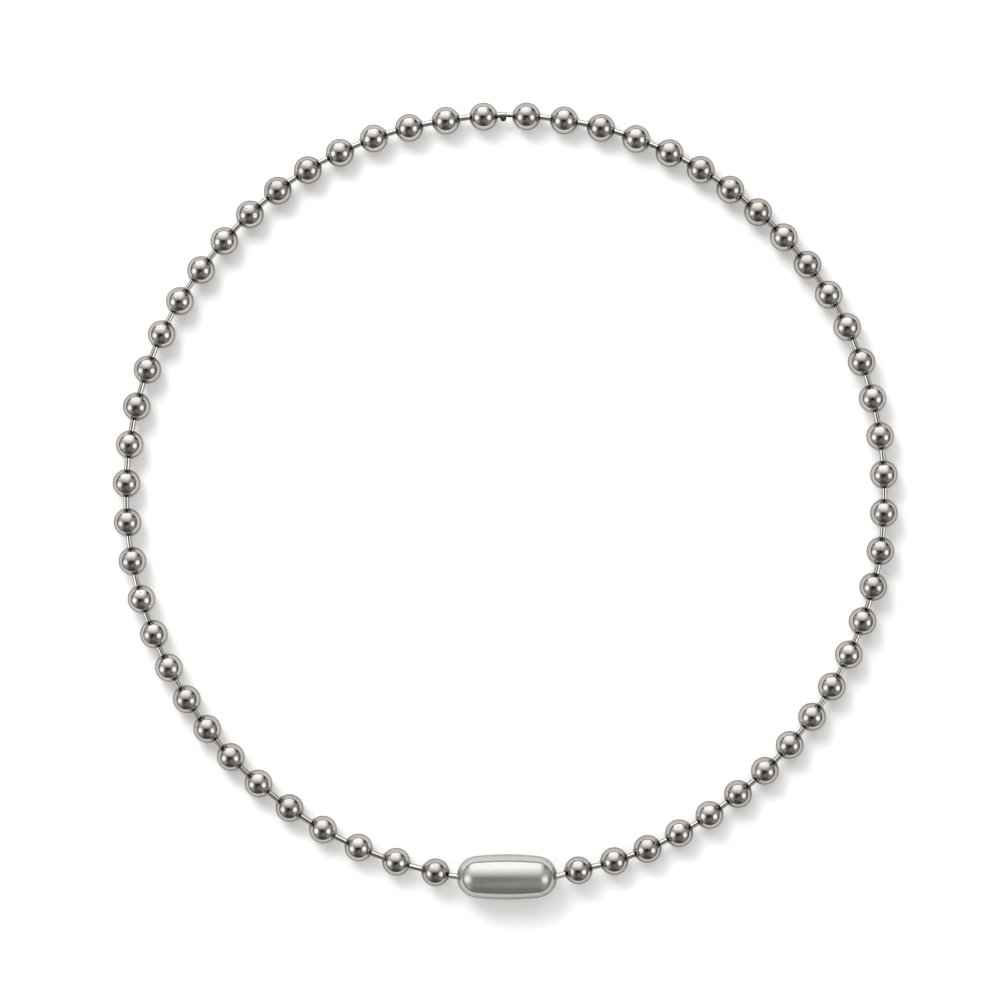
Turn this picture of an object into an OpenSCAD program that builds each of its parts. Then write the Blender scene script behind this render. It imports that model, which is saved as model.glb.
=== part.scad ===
// Ball chain necklace, lying flat as a round loop: hollow balls on headed links, closed by a
// capsule clasp. The origin is the middle of the loop's box, on the surface that it lies on.

/* [Loop] */
// Radius of the circle that the middles of the balls lie near
loop_r = 69.5; // [55:0.5:110]
// Wire that shows between two balls, on average
link_gap = 1.7; // [1.2:0.05:3]
// How far a link may slide in or out of its balls from its mean place
link_play = 0.33; // [0:0.01:0.36]

/* [Balls] */
// Diameter of a ball
ball_d = 5.1; // [4.8:0.1:7.5]
// Thickness of a ball's wall
ball_wall = 0.35; // [0.2:0.01:0.4]
// How far the lip of a hole stands above the round of the ball
lip_h = 0.2; // [0.1:0.01:0.4]
// Width of the lip's flat face round the hole
lip_w = 0.15; // [0.1:0.01:0.3]
// Angle from the ball's axis at which the lip starts to flare out of the round
lip_angle = 40; // [36:1:44]

/* [Links] */
// Diameter of the wire
wire_d = 1.05; // [0.7:0.01:1.15]
// Room round the wire in a ball's hole
hole_play = 0.27; // [0.2:0.01:0.32]
// How far a link's head reaches past the edge of the hole
head_catch = 0.15; // [0.05:0.01:0.2]
// Thickness of a head
head_t = 0.4; // [0.2:0.01:0.6]
// Depth of the middle of a head below the face of the lip
head_depth = 1.45; // [1.3:0.01:1.6]

/* [Joining link] */
// How much longer the joining link is than the others
joint_extra = 0.95; // [0.4:0.05:1.5]
// Diameter of its thinner wire
joint_wire_d = 0.85; // [0.6:0.01:1]
// How far its two wires rise to the place where they meet
joint_rise = 0.2; // [0.05:0.01:0.25]
// Length of the thicker wire past that place
joint_lap = 0.4; // [0.1:0.01:0.5]
// Diameter of the bead of solder there, on the side of the neck
solder_d = 1.15; // [1:0.01:1.5]
// Distance from that place in to the middle of the bead
solder_drop = 0.6; // [0.4:0.01:0.8]

/* [Clasp] */
// Length of the clasp
clasp_l = 18.3; // [16:0.1:26]
// Diameter of the clasp at its middle
clasp_d = 8.25; // [7.8:0.05:11]
// Radius of the slight barrel curve along its sides
clasp_side_r = 51; // [40:1:300]
// Radius of its round ends, from its side to the hole
clasp_corner_r = 3.75; // [2.4:0.05:4.2]
// Thickness of the clasp's end round the wire
clasp_end_wall = 0.6; // [0.3:0.01:0.8]
// Least thickness of its round end beside a socket
clasp_wall = 0.3; // [0.15:0.01:0.4]
// Room round the slanting end link inside the clasp
clasp_play = 0.15; // [0.12:0.01:0.4]
// Wire that shows between the clasp and the ball next to it
clasp_gap = 1.4; // [1.3:0.05:3]
// How far the end link reaches into the clasp, to the middle of its head
clasp_head_depth = 1.75; // [1.4:0.05:2.2]
// Share of the clasp's extra height that lifts the ball next to it
end_lift = 0.5; // [0.3:0.05:0.6]

/* [Hidden] */
steel = [0.74, 0.73, 0.71];
dark_steel = [0.62, 0.61, 0.60];
$fn = 48;
// Steps of the two arcs of the clasp's outline, on each side of its middle
side_steps = 8;
corner_steps = 18;
// The lip's flare starts this share of the radius out, a hair under the surface of the ball
flare_share = 0.995;

// Chosen points of the loop, anticlockwise from the clasp: the bearing in degrees, how far the chain
// lies outside the plain circle as a share of loop_r, and how far its links are drawn out of their
// balls (or pushed in, below 0) as a share of link_play.
BEARING = 0;
BULGE = 1;
DRAWN = 2;
ROUTE = [
    [0, 0.004, 0],
    [13, 0.006, 0],
    [20, 0.004, -0.55],
    [28, -0.001, -0.5],
    [38, -0.005, -0.5],
    [57, -0.007, -0.3],
    [80, -0.005, -0.3],
    [88, -0.006, 0.35],
    [104, -0.004, 0.35],
    [116, 0, 0.15],
    [133, -0.003, -0.3],
    [155, -0.002, -0.5],
    [163, -0.001, -0.15],
    [175, -0.001, 0.2],
    [190, 0, 0.15],
    [200, 0.003, -0.05],
    [214, 0.005, -0.25],
    [234, 0.001, 0],
    [245, 0.004, 0.2],
    [270, 0.003, 0.5],
    [284, 0.002, 0.55],
    [290, 0, 0],
    [306, 0.001, -0.35],
    [314, 0.003, -0.1],
    [322, 0.003, 0.65],
    [336, 0.007, 0.75],
    [349, 0.011, 1],
    [360, 0.004, 0]
];

ball_r = ball_d / 2;
hole_d = wire_d + 2 * hole_play;
head_d = hole_d + 2 * head_catch;
lip_r = hole_d / 2 + lip_w;
inner_r = ball_r - ball_wall;
// From the middle of a ball to the face of its lip, to the inner mouth of its hole, and halfway between
ball_reach = sqrt(pow(ball_r, 2) - pow(lip_r, 2)) + lip_h;
mouth_reach = sqrt(pow(inner_r, 2) - pow(hole_d / 2, 2));
hole_reach = (ball_reach + mouth_reach) / 2;
clasp_r = clasp_d / 2;

// The loop seen from above: its radius at a bearing, and the place on it
function route_value(bearing, part) = lookup(bearing, [for (row = ROUTE) [row[BEARING], row[part]]]);
function route_r(bearing) = loop_r * (1 + route_value(bearing, BULGE));
function on_route(bearing) = route_r(bearing) * [sin(bearing), -cos(bearing)];

// Length along the loop at each whole degree, and the bearing at a length
LENGTHS = [
    for (
        bearing = 0, length = 0;
        bearing <= 360;
        bearing = bearing + 1, length = length + norm(on_route(bearing) - on_route(bearing - 1))
    ) [length, bearing]
];
loop_length = LENGTHS[360][0];
function bearing_at(length) = lookup(length, LENGTHS);

// How many balls fit, which link joins the chain, and what the spacing of the balls comes to
first_length = clasp_l / 2 + clasp_gap + ball_reach;
chain_length = loop_length - 2 * first_length;
balls = round((chain_length - joint_extra) / (2 * ball_reach + link_gap)) + 1;
joint_at = ceil(balls / 2);
first_bearing = bearing_at(first_length);
last_bearing = bearing_at(loop_length - first_length);
function drawn(link) = route_value(
    first_bearing + (last_bearing - first_bearing) * (link - 0.5) / (balls - 1), DRAWN);
drawn_shares = [for (link = [1 : balls - 1]) drawn(link)];
function total(list, upto) = upto < 1 ? 0 : list[upto - 1] + total(list, upto - 1);
mean_drawn = total(drawn_shares, balls - 1) / (balls - 1);
mean_pitch = (chain_length - joint_extra) / (balls - 1);
function slid(link) = 2 * link_play * (drawn_shares[link - 1] - mean_drawn);
function extra(link) = link == joint_at ? joint_extra : 0;
pitches = [for (link = [1 : balls - 1]) mean_pitch + slid(link) + extra(link)];
function ball_length(ball) = first_length + total(pitches, ball - 1);

// Middles of the balls, numbered from 1, with the middles of the clasp's two holes as 0 and the last
function ball_z(ball) = ball_r + (ball == 1 || ball == balls ? end_lift * (clasp_r - ball_r) : 0);
function clasp_end(side) = [side * (clasp_l - clasp_end_wall) / 2, -route_r(0), clasp_r];
function ball_middle(ball) = concat(on_route(bearing_at(ball_length(ball))), ball_z(ball));
MIDDLES = concat(
    [clasp_end(1)],
    [for (ball = [1 : balls]) ball_middle(ball)],
    [clasp_end(-1)]
);
function unit(v) = v / norm(v);
function ball_axis(ball) = unit(MIDDLES[ball + 1] - MIDDLES[ball - 1]);
function hole(ball, side) = MIDDLES[ball] + side * hole_reach * ball_axis(ball);
// The holes that the wire of link 0, 1, 2 ... runs between
function link_start(link) = link == 0 ? clasp_end(1) : hole(link, 1);
function link_end(link) = link == balls ? clasp_end(-1) : hole(link + 1, -1);

// Middle of the loop's box
xs = [for (ball = [1 : balls]) MIDDLES[ball].x];
ys = [for (ball = [1 : balls]) MIDDLES[ball].y];
loop_middle = [
    (min(xs) + max(xs)) / 2,
    (max(ys) + ball_r + clasp_end(1).y - clasp_r) / 2
];

// How far a link reaches past the middle of a hole, to the middle of its head, on average, and the
// length of a whole link between the middles of its two heads
head_reach = head_depth - (ball_reach - hole_reach);
link_l = mean_pitch - 2 * hole_reach + 2 * head_reach;
function span(link) = norm(link_end(link) - link_start(link));
function way(link) = unit(link_end(link) - link_start(link));
// What a link reaches past its first and past its last hole
function inner_reach(link) = (link_l + extra(link) - span(link)) / 2;
function first_reach(link) = link == 0 ? clasp_head_depth : link == balls ? head_reach : inner_reach(link);
function last_reach(link) = link == balls ? clasp_head_depth : link == 0 ? head_reach : inner_reach(link);
function first_head(link) = link_start(link) - first_reach(link) * way(link);
function last_head(link) = link_end(link) + last_reach(link) * way(link);

// Stands what is drawn along Z on the line from one point to another
module along(from, to) {
    way = to - from;
    translate(from)
        rotate([0, acos(way.z / norm(way)), atan2(way.y, way.x)])
            children();
}

module in_place() {
    translate([-loop_middle.x, -loop_middle.y, 0]) children();
}

// Half of a ball's section: a round shell, cut by the hole, with a lip that flares from the round
module ball_section() {
    foot = flare_share * ball_r * [sin(lip_angle), cos(lip_angle)];
    difference() {
        union() {
            circle(r = ball_r);
            for (side = [-1, 1])
                polygon([
                    [0, side * foot.y],
                    [foot.x, side * foot.y],
                    [lip_r, side * ball_reach],
                    [0, side * ball_reach]
                ]);
        }
        circle(r = inner_r);
        square([hole_d, 3 * ball_d], center = true);
        translate([-2 * ball_d, -ball_d]) square(2 * ball_d);
    }
}

module ball() {
    rotate_extrude() ball_section();
}

module headed_wire(length) {
    rotate_extrude()
        polygon([
            [0, -head_t / 2],
            [head_d / 2, -head_t / 2],
            [head_d / 2, head_t / 2],
            [wire_d / 2, head_t / 2],
            [wire_d / 2, length - head_t / 2],
            [head_d / 2, length - head_t / 2],
            [head_d / 2, length + head_t / 2],
            [0, length + head_t / 2]
        ]);
}

module chain_balls() {
    color(steel)
        in_place()
            for (ball = [1 : balls])
                along(MIDDLES[ball], MIDDLES[ball] + ball_axis(ball)) ball();
}

module chain_links() {
    color(dark_steel)
        in_place()
            for (link = [0 : balls])
                if (link != joint_at)
                    along(first_head(link), last_head(link))
                        headed_wire(norm(last_head(link) - first_head(link)));
}

module joining_link() {
    thin_head = first_head(joint_at);
    thick_head = last_head(joint_at);
    middle = (thin_head + thick_head) / 2;
    outward = unit([middle.x, middle.y, 0]);
    meeting = middle + joint_rise * outward;
    color(steel)
        in_place() {
            along(thick_head, meeting) {
                cylinder(d = wire_d, h = norm(meeting - thick_head) + joint_lap);
                translate([0, 0, -head_t / 2]) cylinder(d = head_d, h = head_t);
            }
            along(thin_head, meeting) {
                cylinder(d = joint_wire_d, h = norm(meeting - thin_head));
                translate([0, 0, -head_t / 2]) cylinder(d = head_d, h = head_t);
            }
            translate(meeting - solder_drop * outward) sphere(d = solder_d);
        }
}

// The clasp's outline from its middle to one end, as a length along its axis for each radius. The arc of
// its end runs smoothly out of the arc of its side, so its middle lies where the difference of their radii
// puts it. It ends square to the axis, or on the axis where it reaches that first.
side_middle = [clasp_r - clasp_side_r, 0];
corner_y = clasp_l / 2 - clasp_corner_r;
corner_middle = side_middle + [sqrt(pow(clasp_side_r - clasp_corner_r, 2) - pow(corner_y, 2)), corner_y];
corner_start = atan2(corner_y, corner_middle.x - side_middle.x);
corner_end = corner_middle.x < 0 ? acos(-corner_middle.x / clasp_corner_r) : 90;
// Points of an arc, without the first
function arc(middle, r, from, to, steps) = [
    for (step = [1 : steps])
        let (angle = from + (to - from) * step / steps)
        middle + r * [cos(angle), sin(angle)]
];
half_outline = concat(
    arc(side_middle, clasp_side_r, 0, corner_start, side_steps),
    arc(corner_middle, clasp_corner_r, corner_start, corner_end, corner_steps),
    corner_middle.x > 0 ? [[0, clasp_l / 2]] : []
);

module clasp_section() {
    last = len(half_outline) - 1;
    polygon(concat(
        [for (point = [last : -1 : 0]) [max(half_outline[point].x, 0), -half_outline[point].y]],
        [[clasp_r, 0]],
        [for (point = half_outline) [max(point.x, 0), point.y]]
    ));
}

// The end links slant out of the clasp, so its holes and sockets are wide enough for the larger slant
function slant(link) = acos(abs(way(link).x));
end_slant = max(slant(0), slant(balls));
clasp_hole_d = wire_d / cos(end_slant) + clasp_end_wall * tan(end_slant) + 2 * clasp_play;
socket_d = 2 * (clasp_head_depth * sin(end_slant) + head_d / 2 * cos(end_slant)
    + head_t / 2 * sin(end_slant) + clasp_play);
socket_end = clasp_head_depth * cos(end_slant) + head_d / 2 * sin(end_slant)
    + head_t / 2 * cos(end_slant) + clasp_play;
wall_inside = clasp_l / 2 - clasp_end_wall;
socket_floor = (clasp_l - clasp_end_wall) / 2 - socket_end;

// Half of the section of a socket, which follows the round end where that comes close to it
module socket_section() {
    intersection() {
        translate([0, socket_floor]) square([socket_d / 2, wall_inside - socket_floor]);
        union() {
            square([clasp_r, corner_y]);
            if (corner_middle.x > 0) square([corner_middle.x, wall_inside]);
            translate(corner_middle) circle(r = clasp_corner_r - clasp_wall);
        }
    }
}

module capsule_clasp() {
    color(steel)
        in_place()
            translate([0, -route_r(0), clasp_r])
                rotate([0, 90, 0])
                    difference() {
                        rotate_extrude() clasp_section();
                        for (side = [0, 1]) mirror([0, 0, side]) {
                            rotate_extrude() socket_section();
                            translate([0, 0, (socket_floor + wall_inside) / 2])
                                cylinder(d = clasp_hole_d, h = clasp_l / 2);
                        }
                    }
}

chain_balls();
chain_links();
joining_link();
capsule_clasp();
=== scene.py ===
"""Ball chain necklace, lying flat: finished balls, headed links, joining link and capsule clasp.

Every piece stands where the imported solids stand. Lengths are in metres.
"""

import math
import random

import bmesh
import bpy
import numpy as np
from mathutils import Matrix, Vector


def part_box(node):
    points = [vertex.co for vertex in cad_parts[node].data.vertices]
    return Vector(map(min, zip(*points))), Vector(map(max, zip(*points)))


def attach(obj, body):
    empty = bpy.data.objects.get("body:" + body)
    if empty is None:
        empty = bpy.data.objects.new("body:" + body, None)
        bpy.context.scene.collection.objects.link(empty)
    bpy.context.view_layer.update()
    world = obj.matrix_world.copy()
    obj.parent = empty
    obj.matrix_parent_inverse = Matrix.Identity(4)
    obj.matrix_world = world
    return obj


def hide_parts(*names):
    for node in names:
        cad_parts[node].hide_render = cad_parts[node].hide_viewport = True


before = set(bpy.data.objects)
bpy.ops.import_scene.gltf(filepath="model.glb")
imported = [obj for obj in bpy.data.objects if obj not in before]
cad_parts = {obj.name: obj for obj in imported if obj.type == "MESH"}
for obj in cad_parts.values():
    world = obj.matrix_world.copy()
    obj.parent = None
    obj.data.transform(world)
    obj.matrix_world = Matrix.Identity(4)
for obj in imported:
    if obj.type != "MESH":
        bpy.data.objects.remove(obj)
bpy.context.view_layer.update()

MM = 0.001
FULL_TURN = 2 * math.pi
UP = Vector((0, 0, 1))
# Points closer than MERGE are one, and a point this near to a circle lies on it
MERGE = 1e-7
RING_REACH = 0.01 * MM

# Balls
BALL_R = 2.55 * MM
BALL_WALL = 0.35 * MM
HOLE_R = 0.68 * MM
NECK_R = 1.05 * MM
LIP_R = 0.78 * MM
LIP_H = 0.10 * MM
LIP_ROUND = 0.04 * MM
BALL_TURNS = 40
BALL_ROWS = 14
BALL_INNER_ROWS = 8

# Links
WIRE_R = 0.525 * MM
HEAD_R = 0.945 * MM
HEAD_T = 0.4 * MM
HEAD_ROUND = 0.1 * MM
LINK_TURNS = 20

# Joining link: a thick and a thin wire that meet a little outside the line between their heads
THIN_WIRE_R = 0.425 * MM
JOINT_RISE = 0.2 * MM
JOINT_LAP = 0.4 * MM
JOINT_END_ROUND = 0.7 * WIRE_R
HEAD_REACH = 1.5 * HEAD_T
SOLDER_HALF = Vector((0.56, 0.56, 0.52)) * MM
SOLDER_DROP = 0.68 * MM
SOLDER_SHIFT = 0.3 * MM
SOLDER_REACH = 0.25 * MM
# How far the skin faces the inside of the loop where the painted shade along the wires starts, and
# where it is full
INNER_FACE_SHADE_START = 0.35
INNER_FACE_SHADE_END = 0.6
JOINT_TURNS = 32
JOINT_VOXEL = 0.035 * MM
JOINT_SOFTENING = 0.5
JOINT_SOFTENINGS = 4

# Clasp
CLASP_L = 18.3 * MM
CLASP_SIDE_R = 51 * MM
CLASP_CORNER_R = 3.75 * MM
CLASP_END_WALL = 0.6 * MM
CLASP_WALL = 0.3 * MM
CLASP_HOLE_R = 0.83 * MM
CLASP_SOCKET_R = 1.73 * MM
CLASP_SOCKET_DEPTH = 2.0 * MM
CLASP_HOLE_ROUND = 0.08 * MM
CLASP_TURNS = 128
CLASP_SIDE_ROWS = 12
CLASP_CORNER_ROWS = 30
CLASP_SOCKET_ROWS = 3
# How far a face leans where the satin finish starts to give way to polish, and where it ends. A
# lean towards the clasp's ends counts less.
SATIN_START = 0.42
SATIN_END = 0.58
SATIN_ALONG = 0.85

# Steel surface: pits, scratches, smudges and dents to the millimetre, the stretch of noise or
# distance over which each starts, and how much each darkens, dulls or deepens the steel
PITS_PER_MM = 1.2
PIT_EDGE = (0.08, 0.2)
PIT_DARKENING = 0.85
PIT_COLOUR = (0.05, 0.045, 0.045, 1)
SCRATCHES_PER_MM = 4.0
SCRATCH_LAYS = ((0.4, (1, 25, 4)), (2.3, (20, 1, 3)), (1.2, (3, 16, 1)))
SCRATCH_DETAIL = 3.0
SCRATCH_EDGE = (0.60, 0.70)
SCRATCH_DEPTH = 0.15
SCRATCH_DULLING = 0.05
SMUDGES_PER_MM = 0.5
SMUDGE_DETAIL = 4.0
SMUDGE_EDGE = (0.35, 0.68)
SMUDGE_DARKENING = 0.25
SMUDGE_DULLING = 0.03
DENTS_PER_MM = 0.9
DENT_DETAIL = 1.5
RELIEF_DEPTH = 0.02 * MM
# How much the darkest ball or link differs from the brightest
SHADE_DARKENING = 0.5
# The steel mirrors this share at grazing angles, which draws its dark outline
EDGE_TINT = 0.35
# Painted shade on the sides of a wire: full where it faces up least
FLANK_SHADE_COLOUR = (0.12, 0.11, 0.10, 1)
FLANK_SHADE_EDGE = (0.58, 0.86)
# Painted shade at a ball's holes, by its share of the way from the ball's middle to the lip
LIP_SHADE_COLOUR = (0.04, 0.036, 0.033, 1)
LIP_SHADE_EDGE = (0.955, 0.985)
LIP_SHADE_DARKENING = 0.6
# Dark solder on the bead, and painted shade along the joint's inner face, in one colour
SOLDER_AND_SHADE_COLOUR = (0.045, 0.041, 0.038, 1)
SOLDER_AND_SHADE_DARKENING = 0.95
SOLDER_DULLING = 0.15
# Drawn lines of a wire: how many to the millimetre round it and along it
DRAWN_LINES = (12.0, 0.5, 1.0)
DRAWN_DEPTH = 0.15

SEED = 61


def unit(v):
    return Vector(v).normalized()


def solids_of(node):
    """The vertices of each loose solid of a CAD node, as arrays."""
    bm = bmesh.new()
    bm.from_mesh(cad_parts[node].data)
    bmesh.ops.remove_doubles(bm, verts=bm.verts, dist=MERGE)
    found, seen = [], set()
    for first in bm.verts:
        if first in seen:
            continue
        solid, waiting = [], [first]
        seen.add(first)
        while waiting:
            vert = waiting.pop()
            solid.append(vert.co[:])
            for edge in vert.link_edges:
                other = edge.other_vert(vert)
                if other not in seen:
                    seen.add(other)
                    waiting.append(other)
        found.append(np.array(solid))
    bm.free()
    return found


def box_middle(points):
    return Vector((points.min(0) + points.max(0)) / 2)


def long_axis(points):
    """Unit vector along the longest way of a solid."""
    centred = points - points.mean(0)
    return unit(np.linalg.svd(centred, full_matrices=False)[2][0])


# The chain in order, anticlockwise from the clasp at the front of the loop
clasp_low, clasp_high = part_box("capsule_clasp")
clasp_middle = (clasp_low + clasp_high) / 2
clasp_r = (clasp_high.z - clasp_low.z) / 2


def bearing(point):
    return math.atan2(point.x, -point.y) % FULL_TURN


ball_middles = sorted((box_middle(p) for p in solids_of("chain_balls")), key=bearing)
clasp_holes = [
    clasp_middle + Vector((side * (CLASP_L - CLASP_END_WALL) / 2, 0, 0)) for side in (1, -1)
]
middles = [clasp_holes[0], *ball_middles, clasp_holes[1]]
ball_axes = [unit(middles[i + 1] - middles[i - 1]) for i in range(1, len(middles) - 1)]


def on_line(middle, axis):
    """Matrix that takes a shape made round Z to a place and a direction."""
    turn = axis.to_track_quat("Z", "Y").to_matrix().to_4x4()
    return Matrix.Translation(middle) @ turn


def spun(outline, turns, closed=False):
    """A bmesh turned round Z from an outline of (radius, height) points."""
    bm = bmesh.new()
    verts = [bm.verts.new((radius, 0, height)) for radius, height in outline]
    pairs = list(zip(verts, verts[1:] + verts[:1])) if closed else list(zip(verts, verts[1:]))
    edges = [bm.edges.new(pair) for pair in pairs]
    bmesh.ops.spin(
        bm, geom=verts + edges, cent=(0, 0, 0), axis=UP, angle=FULL_TURN, steps=turns, use_merge=True
    )
    bmesh.ops.remove_doubles(bm, verts=bm.verts, dist=MERGE)
    bmesh.ops.recalc_face_normals(bm, faces=bm.faces)
    return bm


def ring_edges(bm, radius, height):
    """The edges of the circle of that radius at that height, above and below the middle."""

    def on_ring(vert):
        off = abs(vert.co.xy.length - radius) + abs(abs(vert.co.z) - height)
        return off < RING_REACH

    return [e for e in bm.edges if all(on_ring(v) for v in e.verts)]


def round_off(bm, edges, width, segments=3):
    bmesh.ops.bevel(
        bm,
        geom=edges,
        offset=width,
        segments=segments,
        profile=0.5,
        affect="EDGES",
        material=-1,
    )


def arc_points(middle, radius, start, end, steps):
    """(radius, height) points of an arc, angles in degrees up from the equator."""
    points = []
    for step in range(steps + 1):
        angle = math.radians(start + (end - start) * step / steps)
        points.append((middle[0] + radius * math.cos(angle), middle[1] + radius * math.sin(angle)))
    return points


def smooth_mesh(bm, name, sharp_degrees=40):
    """Smooth faces, with the edges sharper than an angle left sharp, as mesh data."""
    for face in bm.faces:
        face.smooth = True
    for edge in bm.edges:
        if edge.is_manifold and edge.calc_face_angle(0) > math.radians(sharp_degrees):
            edge.smooth = False
    mesh = bpy.data.meshes.new(name)
    bm.to_mesh(mesh)
    bm.free()
    return mesh


def add_piece(mesh, name, material, node):
    piece = bpy.data.objects.new(name, mesh)
    bpy.context.scene.collection.objects.link(piece)
    piece.data.materials.append(material)
    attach(piece, "root")
    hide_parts(node)


def placed_copies(name, unit_meshes, matrices, shades):
    """One mesh of many turned and moved copies, with each copy's shade as an attribute."""
    bm = bmesh.new()
    shade_layer = bm.verts.layers.float.new("shade")
    for unit_mesh, matrix, shade in zip(unit_meshes, matrices, shades):
        start = len(bm.verts)
        bm.from_mesh(unit_mesh)
        bm.verts.ensure_lookup_table()
        fresh = bm.verts[start:]
        bmesh.ops.transform(bm, matrix=matrix, verts=fresh)
        for vert in fresh:
            vert[shade_layer] = shade
    mesh = bpy.data.meshes.new(name)
    bm.to_mesh(mesh)
    bm.free()
    return mesh


def ball_mesh():
    """One hollow ball with a rounded lip round each hole, its axis along Z."""
    inner_r = BALL_R - BALL_WALL
    reach = math.sqrt(BALL_R**2 - LIP_R**2) + LIP_H
    neck_angle = math.degrees(math.acos(NECK_R / BALL_R))
    inner_hole_angle = math.degrees(math.acos(HOLE_R / inner_r))
    outer = arc_points((0, 0), BALL_R, -neck_angle, neck_angle, BALL_ROWS)
    inner = arc_points((0, 0), inner_r, inner_hole_angle, -inner_hole_angle, BALL_INNER_ROWS)
    top_lip = [(LIP_R, reach), (HOLE_R, reach)]
    bottom_lip = [(HOLE_R, -reach), (LIP_R, -reach)]
    bm = spun(outer + top_lip + inner + bottom_lip, BALL_TURNS, closed=True)
    round_off(bm, ring_edges(bm, LIP_R, reach) + ring_edges(bm, HOLE_R, reach), LIP_ROUND)
    lip_layer = bm.verts.layers.float.new("near_lip")
    for vert in bm.verts:
        vert[lip_layer] = abs(vert.co.z) / reach
    return smooth_mesh(bm, "ball")


def link_mesh(length):
    """A straight wire with a round flat head on each end, along Z, length over the heads."""
    half, shoulder = length / 2, length / 2 - HEAD_T
    top = [(WIRE_R, shoulder), (HEAD_R, shoulder), (HEAD_R, half), (0, half)]
    bottom = [(radius, -height) for radius, height in reversed(top)]
    bm = spun(bottom + top, LINK_TURNS)
    rims = ring_edges(bm, HEAD_R, half) + ring_edges(bm, HEAD_R, shoulder)
    round_off(bm, rims, HEAD_ROUND, segments=2)
    uv = bm.loops.layers.uv.new("wire")
    for face in bm.faces:
        turn = math.atan2(face.calc_center_median().y, face.calc_center_median().x)
        for corner in face.loops:
            place = corner.vert.co
            off = math.atan2(place.y, place.x) - turn
            off = (off + math.pi) % FULL_TURN - math.pi
            corner[uv].uv = ((turn + off) * WIRE_R / MM, place.z / MM)
    return smooth_mesh(bm, "link")


def clasp_mesh():
    """The capsule along X: barrel sides that run into round ends, a hole and a socket in each end."""
    corner_y = CLASP_L / 2 - CLASP_CORNER_R
    side_middle = Vector((clasp_r - CLASP_SIDE_R, 0))
    corner_x = side_middle.x + math.sqrt((CLASP_SIDE_R - CLASP_CORNER_R) ** 2 - corner_y**2)
    corner_start = math.degrees(math.atan2(corner_y, corner_x - side_middle.x))
    corner_end = math.degrees(math.acos((CLASP_HOLE_R - corner_x) / CLASP_CORNER_R))
    corner_middle = (corner_x, corner_y)
    half = arc_points(side_middle, CLASP_SIDE_R, 0, corner_start, CLASP_SIDE_ROWS)
    half += arc_points(corner_middle, CLASP_CORNER_R, corner_start, corner_end, CLASP_CORNER_ROWS)[1:]
    hole_edge = half[-1]
    wall_inside = CLASP_L / 2 - CLASP_END_WALL
    socket_floor = wall_inside - CLASP_SOCKET_DEPTH
    inside_r = CLASP_CORNER_R - CLASP_WALL
    inside_start = math.degrees(math.acos((CLASP_SOCKET_R - corner_x) / inside_r))
    inside_end = math.degrees(math.asin((wall_inside - corner_y) / inside_r))
    half += [(CLASP_HOLE_R, wall_inside)]
    half += arc_points(corner_middle, inside_r, inside_end, inside_start, CLASP_SOCKET_ROWS)
    half += [(CLASP_SOCKET_R, socket_floor), (0, socket_floor)]
    other_half = [(radius, -height) for radius, height in reversed(half[1:])]
    bm = spun(other_half + half, CLASP_TURNS)
    round_off(bm, ring_edges(bm, *hole_edge), CLASP_HOLE_ROUND)
    bmesh.ops.transform(bm, matrix=on_line(clasp_middle, Vector((1, 0, 0))), verts=bm.verts)
    bm.normal_update()
    satin_layer = bm.verts.layers.float.new("satin")
    for vert in bm.verts:
        tilt = math.hypot(SATIN_ALONG * vert.normal.x, vert.normal.y)
        vert[satin_layer] = min(1, max(0, (SATIN_END - tilt) / (SATIN_END - SATIN_START)))
    return smooth_mesh(bm, "capsule_clasp")


def rod(bm, start, end, radius, end_round=0.0):
    """A closed round rod between two points, added to a bmesh."""
    length = (end - start).length
    made = bmesh.ops.create_cone(
        bm,
        cap_ends=True,
        segments=JOINT_TURNS,
        radius1=radius,
        radius2=radius,
        depth=length,
        matrix=on_line((start + end) / 2, unit(end - start)),
    )["verts"]
    if end_round:
        rim = [v for v in made if (v.co - end).length < radius + RING_REACH]
        edges = [e for e in bm.edges if all(v in rim for v in e.verts)]
        round_off(bm, edges, end_round, segments=4)


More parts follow.
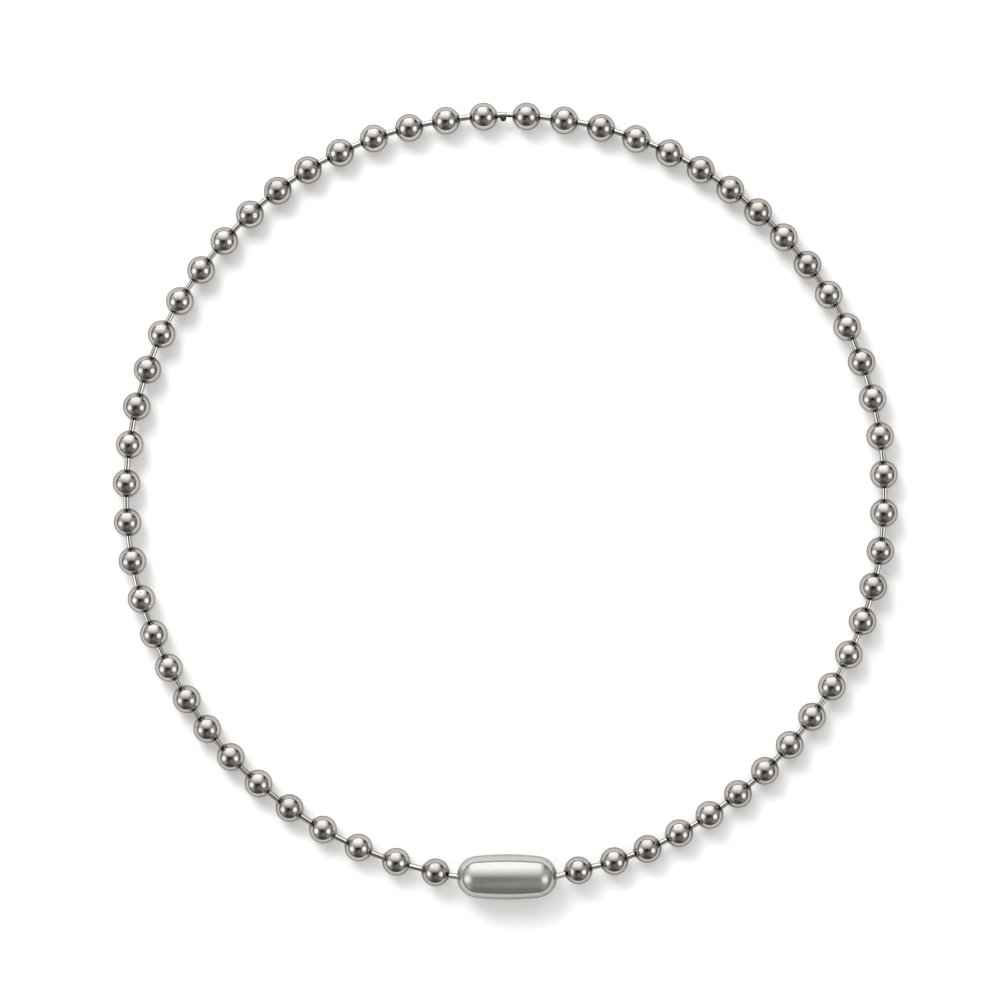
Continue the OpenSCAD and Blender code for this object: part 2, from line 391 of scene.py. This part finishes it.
def joining_link_mesh():
    """The thick wire, the thin wire and the bead of solder, melted into one skin."""
    points = solids_of("joining_link")[0]
    right, left = sorted(ball_middles, key=lambda m: -m.y)[:2]
    if right.x < left.x:
        right, left = left, right
    way = unit(left - right)
    places = points @ np.array(way)
    thin_head, thick_head = (
        box_middle(points[np.abs(places - extreme) < HEAD_REACH])
        for extreme in (places.min(), places.max())
    )
    middle = (thin_head + thick_head) / 2
    outward = unit(Vector((middle.x, middle.y, 0)))
    meeting = middle + JOINT_RISE * outward
    bm = bmesh.new()
    lap_end = meeting + JOINT_LAP * unit(meeting - thick_head)
    rod(bm, thick_head, lap_end, WIRE_R, end_round=JOINT_END_ROUND)
    rod(bm, thin_head, meeting, THIN_WIRE_R)
    for head in (thin_head, thick_head):
        half_head = HEAD_T / 2 * unit(meeting - head)
        rod(bm, head - half_head, head + half_head, HEAD_R)
    solder_middle = meeting - SOLDER_DROP * outward + SOLDER_SHIFT * way
    turn = Matrix((-way, outward, UP)).transposed().to_4x4()
    solder_place = Matrix.Translation(solder_middle) @ turn @ Matrix.Diagonal((*SOLDER_HALF, 1))
    bmesh.ops.create_uvsphere(
        bm,
        u_segments=JOINT_TURNS,
        v_segments=JOINT_TURNS // 2,
        radius=1.0,
        matrix=solder_place,
    )
    mesh = bpy.data.meshes.new("joining_link_rough")
    bm.to_mesh(mesh)
    bm.free()
    rough = bpy.data.objects.new("joining_link_rough", mesh)
    bpy.context.scene.collection.objects.link(rough)
    melt = rough.modifiers.new("melt", "REMESH")
    melt.mode = "VOXEL"
    melt.voxel_size = JOINT_VOXEL
    soften = rough.modifiers.new("soften", "SMOOTH")
    soften.factor = JOINT_SOFTENING
    soften.iterations = JOINT_SOFTENINGS
    depsgraph = bpy.context.evaluated_depsgraph_get()
    bm = bmesh.new()
    bm.from_mesh(rough.evaluated_get(depsgraph).to_mesh())
    bpy.data.objects.remove(rough)
    solder_layer = bm.verts.layers.float.new("solder")
    to_solder = solder_place.inverted()
    fade = SOLDER_REACH / SOLDER_HALF.y
    inner_shade_span = INNER_FACE_SHADE_END - INNER_FACE_SHADE_START
    bm.normal_update()
    for vert in bm.verts:
        off = (to_solder @ vert.co).length - 1
        on_bead = 1 - off / fade
        # Painted shade where the skin faces the inside of the loop, joined with the solder bead
        inner_face_shade = (-vert.normal.dot(outward) - INNER_FACE_SHADE_START) / inner_shade_span
        vert[solder_layer] = min(1, max(0, on_bead, inner_face_shade))
    return smooth_mesh(bm, "joining_link", sharp_degrees=180)


class Nodes:
    """Short ways to add nodes to a tree and join them."""

    def __init__(self, tree):
        self.tree = tree

    def add(self, kind, **values):
        node = self.tree.nodes.new(kind)
        for key, value in values.items():
            setattr(node, key, value)
        return node

    def join(self, source, target):
        self.tree.links.new(source, target)

    def feed(self, socket, value):
        """Sets a socket to a plain value, or joins another socket to it."""
        if isinstance(value, bpy.types.NodeSocket):
            self.join(value, socket)
        else:
            socket.default_value = value

    def layer(self, name):
        """A number that the mesh carries at each of its points."""
        return self.add("ShaderNodeAttribute", attribute_name=name).outputs["Fac"]

    def maths(self, operation, *values):
        node = self.add("ShaderNodeMath", operation=operation)
        for socket, value in zip(node.inputs, values):
            self.feed(socket, value)
        return node.outputs[0]

    def blend_colours(self, mask, first, second):
        node = self.add("ShaderNodeMix", data_type="RGBA")
        self.feed(node.inputs[0], mask)
        self.feed(node.inputs[6], first)
        self.feed(node.inputs[7], second)
        return node.outputs[2]

    def between(self, value, low, high, to_low=0.0, to_high=1.0):
        """Maps a value from one stretch to another, easing at both ends."""
        node = self.add("ShaderNodeMapRange", interpolation_type="SMOOTHSTEP")
        for name, number in zip(
            ("Value", "From Min", "From Max", "To Min", "To Max"),
            (value, low, high, to_low, to_high),
        ):
            self.feed(node.inputs[name], number)
        return node.outputs["Result"]


def group_tree(name, inputs, outputs):
    """A new shader group with named float or colour sockets, as (tree, entry, exit)."""
    tree = bpy.data.node_groups.new(name, "ShaderNodeTree")
    for label, kind, value in inputs:
        socket = tree.interface.new_socket(label, in_out="INPUT", socket_type=kind)
        if value is not None:
            socket.default_value = value
    for label, kind in outputs:
        tree.interface.new_socket(label, in_out="OUTPUT", socket_type=kind)
    entry = tree.nodes.new("NodeGroupInput")
    leave = tree.nodes.new("NodeGroupOutput")
    return tree, entry, leave


def steel_surface_group():
    """Small pits, crossing hairline scratches, slow smudges and dents, for every steel piece."""
    tree, entry, leave = group_tree(
        "steel_surface",
        [
            ("Place", "NodeSocketVector", None),
            ("Pits per mm", "NodeSocketFloat", PITS_PER_MM),
            ("Pit share", "NodeSocketFloat", 0.2),
            ("Scratches per mm", "NodeSocketFloat", SCRATCHES_PER_MM),
            ("Smudges per mm", "NodeSocketFloat", SMUDGES_PER_MM),
            ("Dent depth", "NodeSocketFloat", 0.0),
        ],
        [
            ("Pits", "NodeSocketFloat"),
            ("Scratches", "NodeSocketFloat"),
            ("Smudges", "NodeSocketFloat"),
            ("Height", "NodeSocketFloat"),
        ],
    )
    n = Nodes(tree)
    in_mm = n.add("ShaderNodeVectorMath", operation="SCALE")
    n.feed(in_mm.inputs[0], entry.outputs["Place"])
    in_mm.inputs["Scale"].default_value = 1 / MM

    cells = n.add("ShaderNodeTexVoronoi", feature="F1")
    n.join(in_mm.outputs[0], cells.inputs["Vector"])
    n.join(entry.outputs["Pits per mm"], cells.inputs["Scale"])
    near = n.between(cells.outputs["Distance"], *PIT_EDGE, 1.0, 0.0)
    cell = n.add("ShaderNodeSeparateColor")
    n.join(cells.outputs["Color"], cell.inputs[0])
    picked = n.maths("LESS_THAN", cell.outputs[0], entry.outputs["Pit share"])
    pits = n.maths("MULTIPLY", near, picked)

    lines = []
    for turn, stretch in SCRATCH_LAYS:
        spread = n.add("ShaderNodeMapping", vector_type="TEXTURE")
        n.join(in_mm.outputs[0], spread.inputs["Vector"])
        spread.inputs["Rotation"].default_value = (turn, turn / 2, turn)
        spread.inputs["Scale"].default_value = stretch
        noise = n.add("ShaderNodeTexNoise")
        n.join(spread.outputs[0], noise.inputs["Vector"])
        n.join(entry.outputs["Scratches per mm"], noise.inputs["Scale"])
        noise.inputs["Detail"].default_value = SCRATCH_DETAIL
        lines.append(n.between(noise.outputs["Fac"], *SCRATCH_EDGE))
    scratches = n.maths("MAXIMUM", n.maths("MAXIMUM", lines[0], lines[1]), lines[2])

    cloud = n.add("ShaderNodeTexNoise")
    n.join(in_mm.outputs[0], cloud.inputs["Vector"])
    n.join(entry.outputs["Smudges per mm"], cloud.inputs["Scale"])
    cloud.inputs["Detail"].default_value = SMUDGE_DETAIL
    smudges = n.between(cloud.outputs["Fac"], *SMUDGE_EDGE)

    dents = n.add("ShaderNodeTexNoise")
    n.join(in_mm.outputs[0], dents.inputs["Vector"])
    dents.inputs["Scale"].default_value = DENTS_PER_MM
    dents.inputs["Detail"].default_value = DENT_DETAIL
    uneven = n.maths("MULTIPLY", dents.outputs["Fac"], entry.outputs["Dent depth"])

    worn = n.maths("MULTIPLY_ADD", scratches, -SCRATCH_DEPTH, uneven)
    height = n.maths("SUBTRACT", worn, pits)
    n.join(pits, leave.inputs["Pits"])
    n.join(scratches, leave.inputs["Scratches"])
    n.join(smudges, leave.inputs["Smudges"])
    n.join(height, leave.inputs["Height"])
    return tree


STEEL_SURFACE = steel_surface_group()


def steel_material(
    name,
    colour,
    dark_colour,
    roughness,
    pit_share,
    bump,
    shade_at_lips=False,
    drawn=False,
    soldered=False,
    satin=0.0,
    metallic=1.0,
    dents=0.0,
    flank_shade=0.0,
):
    """Bare steel: a bright colour, darker in pits, smudges and solder, with painted shade on flanks,
    at lips and along the joint's inner face.
    """
    material = bpy.data.materials.new(name)
    material.use_nodes = True
    n = Nodes(material.node_tree)
    shader = material.node_tree.nodes["Principled BSDF"]
    shader.inputs["Metallic"].default_value = metallic
    shader.inputs["Specular Tint"].default_value = (EDGE_TINT, EDGE_TINT, EDGE_TINT, 1)
    place = n.add("ShaderNodeTexCoord").outputs["Object"]

    surface = n.add("ShaderNodeGroup", node_tree=STEEL_SURFACE)
    n.join(place, surface.inputs["Place"])
    surface.inputs["Pit share"].default_value = pit_share
    surface.inputs["Dent depth"].default_value = dents

    shade = n.maths("MULTIPLY", n.layer("shade"), SHADE_DARKENING)
    smudged = n.maths("MULTIPLY", surface.outputs["Smudges"], SMUDGE_DARKENING)
    pitted = n.maths("MULTIPLY", surface.outputs["Pits"], PIT_DARKENING)
    base = n.blend_colours(shade, colour, dark_colour)
    base = n.blend_colours(smudged, base, dark_colour)
    base = n.blend_colours(pitted, base, PIT_COLOUR)
    # Painted shade on the sides of the wire, where they face up least
    if flank_shade:
        facing = n.add("ShaderNodeSeparateXYZ")
        n.join(n.add("ShaderNodeNewGeometry").outputs["Normal"], facing.inputs[0])
        painted_flank_shade = n.between(n.maths("ABSOLUTE", facing.outputs["Z"]), *FLANK_SHADE_EDGE, flank_shade, 0.0)
        base = n.blend_colours(painted_flank_shade, base, FLANK_SHADE_COLOUR)
    # Painted shade round each hole, near the lip
    if shade_at_lips:
        painted_lip_shade = n.between(n.layer("near_lip"), *LIP_SHADE_EDGE, 0.0, LIP_SHADE_DARKENING)
        base = n.blend_colours(painted_lip_shade, base, LIP_SHADE_COLOUR)
    # Dark solder on the bead, and painted shade along the joint's inner face
    if soldered:
        solder = n.layer("solder")
        base = n.blend_colours(n.maths("MULTIPLY", solder, SOLDER_AND_SHADE_DARKENING), base, SOLDER_AND_SHADE_COLOUR)
    n.join(base, shader.inputs["Base Color"])

    rough = n.maths("MULTIPLY_ADD", surface.outputs["Smudges"], SMUDGE_DULLING, roughness)
    rough = n.maths("MULTIPLY_ADD", surface.outputs["Scratches"], SCRATCH_DULLING, rough)
    if soldered:
        rough = n.maths("MULTIPLY_ADD", solder, SOLDER_DULLING, rough)
    if satin:
        rough = n.maths("MULTIPLY_ADD", n.layer("satin"), satin - roughness, rough)
    height = surface.outputs["Height"]
    if drawn:
        uv = n.add("ShaderNodeUVMap", uv_map="wire").outputs[0]
        spread = n.add("ShaderNodeMapping")
        n.join(uv, spread.inputs["Vector"])
        spread.inputs["Scale"].default_value = DRAWN_LINES
        draw_lines = n.add("ShaderNodeTexNoise")
        n.join(spread.outputs[0], draw_lines.inputs["Vector"])
        draw_lines.inputs["Scale"].default_value = 1.0
        height = n.maths("ADD", height, n.maths("MULTIPLY", draw_lines.outputs["Fac"], DRAWN_DEPTH))
    n.join(rough, shader.inputs["Roughness"])

    relief = n.add("ShaderNodeBump")
    relief.inputs["Strength"].default_value = bump
    relief.inputs["Distance"].default_value = RELIEF_DEPTH
    n.join(height, relief.inputs["Height"])
    n.join(relief.outputs["Normal"], shader.inputs["Normal"])
    return material


# The white table. What the steel mirrors of it darkens between these lengths of the mirrored ray.
FLOOR_COLOUR = (0.95, 0.95, 0.95, 1)
FLOOR_FAR_COLOUR = (0.10, 0.10, 0.10, 1)
FLOOR_FADE = (36 * MM, 92 * MM)
FLOOR_SIZE = 2.0


def floor():
    """The table that the necklace lies on, which isn't part of it."""
    bm = bmesh.new()
    bmesh.ops.create_grid(bm, x_segments=1, y_segments=1, size=FLOOR_SIZE)
    mesh = bpy.data.meshes.new("floor")
    bm.to_mesh(mesh)
    bm.free()
    sheet = bpy.data.objects.new("floor", mesh)
    bpy.context.scene.collection.objects.link(sheet)
    material = bpy.data.materials.new("white_table")
    material.use_nodes = True
    n = Nodes(material.node_tree)
    shader = material.node_tree.nodes["Principled BSDF"]
    light_path = n.add("ShaderNodeLightPath")
    far = n.between(light_path.outputs["Ray Length"], *FLOOR_FADE)
    mirrored = n.maths("MULTIPLY", far, light_path.outputs["Is Glossy Ray"])
    n.join(n.blend_colours(mirrored, FLOOR_COLOUR, FLOOR_FAR_COLOUR), shader.inputs["Base Color"])
    shader.inputs["Roughness"].default_value = 1.0
    shader.inputs["Specular IOR Level"].default_value = 0.0
    mesh.materials.append(material)


# Studio light for the steel, painted one over the other. A light shows at this place in a ball seen
# from above, in ball radii, and half is half its size there. Level is its brightness.
ROOM_HIGH = {"y": 0.3, "level": 0.30}
ROOM_LOW = {"y": -0.5, "level": 0.13}
STUDIO = [
    {"name": "left_wall", "at": (-0.50, 0.14), "half": (0.14, 0.22), "soft": 0.6, "level": 0.62},
    {"name": "right_wall", "at": (0.48, 0.14), "half": (0.14, 0.20), "soft": 0.6, "level": 0.55},
    {"name": "left_glow", "at": (-0.50, -0.36), "half": (0.22, 0.24), "soft": 0.6, "level": 0.62},
    {"name": "right_glow", "at": (0.42, -0.38), "half": (0.24, 0.22), "soft": 0.6, "level": 0.50},
    {"name": "table_light", "at": (0.08, -0.32), "half": (0.26, 0.13), "soft": 0.6, "level": 0.32},
    {"name": "window", "at": (-0.08, 0.55), "half": (0.37, 0.75), "soft": 0.5, "level": 2.2,
     "corner": 2.6, "fade": (-0.07, 0.50)},
    {"name": "right_flag", "at": (0.50, 0.49), "half": (0.12, 0.12), "soft": 0.4, "level": 0.05},
    {"name": "left_flag", "at": (-0.50, 0.50), "half": (0.09, 0.09), "soft": 0.4, "level": 0.18},
    {"name": "camera", "at": (-0.05, -0.06), "half": (0.14, 0.10), "soft": 0.5, "level": 0.02},
    {"name": "tripod", "at": (-0.12, -0.20), "half": (0.08, 0.12), "soft": 0.5, "level": 0.10},
    {"name": "left_light", "at": (-0.475, -0.09), "half": (0.145, 0.17), "soft": 0.5, "level": 2.2},
    {"name": "right_light", "at": (0.405, -0.10), "half": (0.135, 0.165), "soft": 0.5, "level": 2.3},
]
HORIZON = {"start": 0.672, "end": 0.706, "level": 0.10}
STUDIO_TINT = (1.0, 0.985, 0.965)
BACKDROP = 0.96


def studio_world():
    """What the steel mirrors, with a plain pale backdrop for the camera alone."""
    world = bpy.data.worlds.new("studio")
    bpy.context.scene.world = world
    world.use_nodes = True
    tree = world.node_tree
    tree.nodes.clear()
    n = Nodes(tree)
    way = n.add("ShaderNodeTexCoord").outputs["Generated"]
    lifted = n.add("ShaderNodeVectorMath", operation="ADD")
    n.join(way, lifted.inputs[0])
    lifted.inputs[1].default_value = UP
    halfway = n.add("ShaderNodeVectorMath", operation="NORMALIZE")
    n.join(lifted.outputs[0], halfway.inputs[0])
    parts = n.add("ShaderNodeSeparateXYZ")
    n.join(halfway.outputs[0], parts.inputs[0])
    x, y = parts.outputs["X"], parts.outputs["Y"]

    def patch(spec):
        """1 inside a light's outline, easing to 0 past it. A higher corner makes it squarer."""
        corner = spec.get("corner", 2.0)
        sides = []
        for value, middle, half in zip((x, y), spec["at"], spec["half"]):
            off = n.maths("ABSOLUTE", n.maths("SUBTRACT", value, middle))
            sides.append(n.maths("POWER", n.maths("DIVIDE", off, half), corner))
        far = n.maths("POWER", n.maths("ADD", *sides), 1 / corner)
        mask = n.between(far, 1 - spec["soft"], 1 + spec["soft"], 1.0, 0.0)
        if "fade" in spec:
            mask = n.maths("MULTIPLY", mask, n.between(y, *spec["fade"]))
        return mask

    def painted(level, mask, below):
        return n.maths("ADD", below, n.maths("MULTIPLY", mask, n.maths("SUBTRACT", level, below)))

    light = n.between(y, ROOM_LOW["y"], ROOM_HIGH["y"], ROOM_LOW["level"], ROOM_HIGH["level"])
    for spec in STUDIO:
        light = painted(spec["level"], patch(spec), light)
    radius = n.maths("SQRT", n.maths("ADD", n.maths("POWER", x, 2.0), n.maths("POWER", y, 2.0)))
    light = painted(HORIZON["level"], n.between(radius, HORIZON["start"], HORIZON["end"]), light)

    studio = n.add("ShaderNodeBackground")
    studio.inputs["Color"].default_value = (*STUDIO_TINT, 1)
    n.join(light, studio.inputs["Strength"])
    backdrop = n.add("ShaderNodeBackground")
    backdrop.inputs["Color"].default_value = (BACKDROP, BACKDROP, BACKDROP, 1)
    seen = n.add("ShaderNodeLightPath").outputs["Is Camera Ray"]
    pick = n.add("ShaderNodeMixShader")
    n.join(seen, pick.inputs[0])
    n.join(studio.outputs[0], pick.inputs[1])
    n.join(backdrop.outputs[0], pick.inputs[2])
    leave = n.add("ShaderNodeOutputWorld")
    n.join(pick.outputs[0], leave.inputs["Surface"])


# The lamps that light the table: the key makes the shadows, and the fill lifts them from the front
LAMP_DISTANCE = 1.2
LAMPS = [
    {"name": "key", "bearing": 122, "height": 41, "size": 0.7, "power": 8.6},
    {"name": "fill", "bearing": -105, "height": 58, "size": 1.0, "power": 2.7},
]


def lamp(name, bearing, height, size, power):
    """A soft round lamp aimed at the middle of the table, which the steel doesn't mirror."""
    turn, lift = math.radians(bearing), math.radians(height)
    way = Vector((math.cos(turn) * math.cos(lift), math.sin(turn) * math.cos(lift), math.sin(lift)))
    data = bpy.data.lights.new(name, "AREA")
    data.shape = "DISK"
    data.size = size
    data.energy = power
    made = bpy.data.objects.new(name, data)
    bpy.context.scene.collection.objects.link(made)
    made.location = LAMP_DISTANCE * way
    made.rotation_mode = "QUATERNION"
    made.rotation_quaternion = way.to_track_quat("Z", "Y")
    made.visible_glossy = False


# The camera. The picture is PICTURE_MM wide at the height PICTURE_PLANE, all in mm but the angle.
VIEW_ANGLE = 12
SENSOR_WIDTH = 36
PICTURE_MM = 183.15
PICTURE_MIDDLE = (-0.95, 0.10)
PICTURE_PLANE = 2.5


def photo_camera():
    """Straight above, with the photo's middle and its width at the balls' height."""
    data = bpy.data.cameras.new("photo_camera")
    data.sensor_width = SENSOR_WIDTH
    half_view = math.radians(VIEW_ANGLE / 2)
    data.lens = data.sensor_width / 2 / math.tan(half_view)
    camera = bpy.data.objects.new("photo_camera", data)
    bpy.context.scene.collection.objects.link(camera)
    height = PICTURE_MM / 2 / math.tan(half_view) + PICTURE_PLANE
    camera.location = Vector((*PICTURE_MIDDLE, height)) * MM
    bpy.context.scene.camera = camera


# Each ball and each link is a little brighter or darker than the next
chance = random.Random(SEED)
ball_steel = steel_material(
    "ball_steel",
    colour=(0.475, 0.46, 0.442, 1),
    dark_colour=(0.35, 0.333, 0.315, 1),
    roughness=0.04,
    pit_share=0.28,
    bump=0.4,
    shade_at_lips=True,
    dents=2.0,
)
wire_steel = steel_material(
    "wire_steel",
    colour=(0.72, 0.71, 0.69, 1),
    dark_colour=(0.52, 0.50, 0.48, 1),
    roughness=0.04,
    pit_share=0.1,
    bump=0.25,
    drawn=True,
    flank_shade=0.65,
)
joint_steel = steel_material(
    "joint_steel",
    colour=(0.66, 0.65, 0.63, 1),
    dark_colour=(0.46, 0.44, 0.42, 1),
    roughness=0.07,
    pit_share=0.2,
    bump=0.4,
    soldered=True,
    flank_shade=0.5,
)
# Its satin face scatters some light, so it isn't fully metallic
clasp_steel = steel_material(
    "clasp_steel",
    colour=(0.46, 0.46, 0.437, 1),
    dark_colour=(0.40, 0.40, 0.375, 1),
    roughness=0.08,
    pit_share=0.1,
    bump=0.3,
    satin=0.2,
    metallic=0.75,
)

one_ball = ball_mesh()
balls = placed_copies(
    "necklace_balls",
    [one_ball] * len(ball_middles),
    [on_line(middle, axis) for middle, axis in zip(ball_middles, ball_axes)],
    [chance.random() for _ in ball_middles],
)
bpy.data.meshes.remove(one_ball)
add_piece(balls, "necklace_balls", ball_steel, "chain_balls")

link_solids = solids_of("chain_links")
link_axes = [long_axis(points) for points in link_solids]
link_lengths = [np.ptp(points @ np.array(axis)) for points, axis in zip(link_solids, link_axes)]
link_meshes = [link_mesh(length) for length in link_lengths]
links = placed_copies(
    "necklace_links",
    link_meshes,
    [on_line(box_middle(points), axis) for points, axis in zip(link_solids, link_axes)],
    [chance.random() for _ in link_solids],
)
for mesh in link_meshes:
    bpy.data.meshes.remove(mesh)
add_piece(links, "necklace_links", wire_steel, "chain_links")

add_piece(joining_link_mesh(), "soldered_link", joint_steel, "joining_link")
add_piece(clasp_mesh(), "clasp_capsule", clasp_steel, "capsule_clasp")

floor()
studio_world()
for spec in LAMPS:
    lamp(**spec)
photo_camera()
bpy.context.scene.view_settings.view_transform = "Standard"
